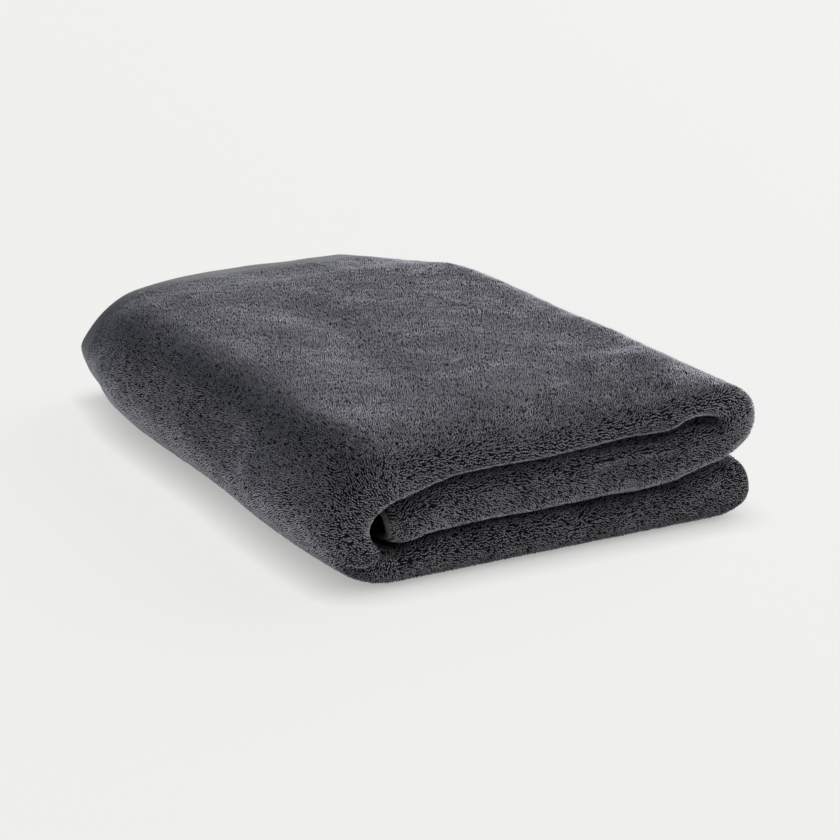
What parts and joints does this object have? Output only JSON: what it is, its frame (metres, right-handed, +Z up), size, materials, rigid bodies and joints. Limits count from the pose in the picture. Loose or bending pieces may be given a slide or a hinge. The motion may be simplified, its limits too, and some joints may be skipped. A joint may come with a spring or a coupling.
{
  "type": "folded bath towel",
  "caption": "Thick terry bath towel folded flat into a soft stack, with smooth folded edges at the front and a flat-woven hem along the far edge.",
  "frame": {"origin": "middle of the stack's bounding box, at the level of the table it lies on", "axes": "+X to the right along the front where the smooth folded edges show, +Y away from the front toward the hems, +Z up"},
  "size_m": [0.2672, 0.3578, 0.0762],
  "materials": {
    "terry_cloth": "matte dark grey cotton loop pile with flat-woven hems"
  },
  "bodies": {
    "root": {"towel_cloth": "terry_cloth"}
  },
  "joints": []
}
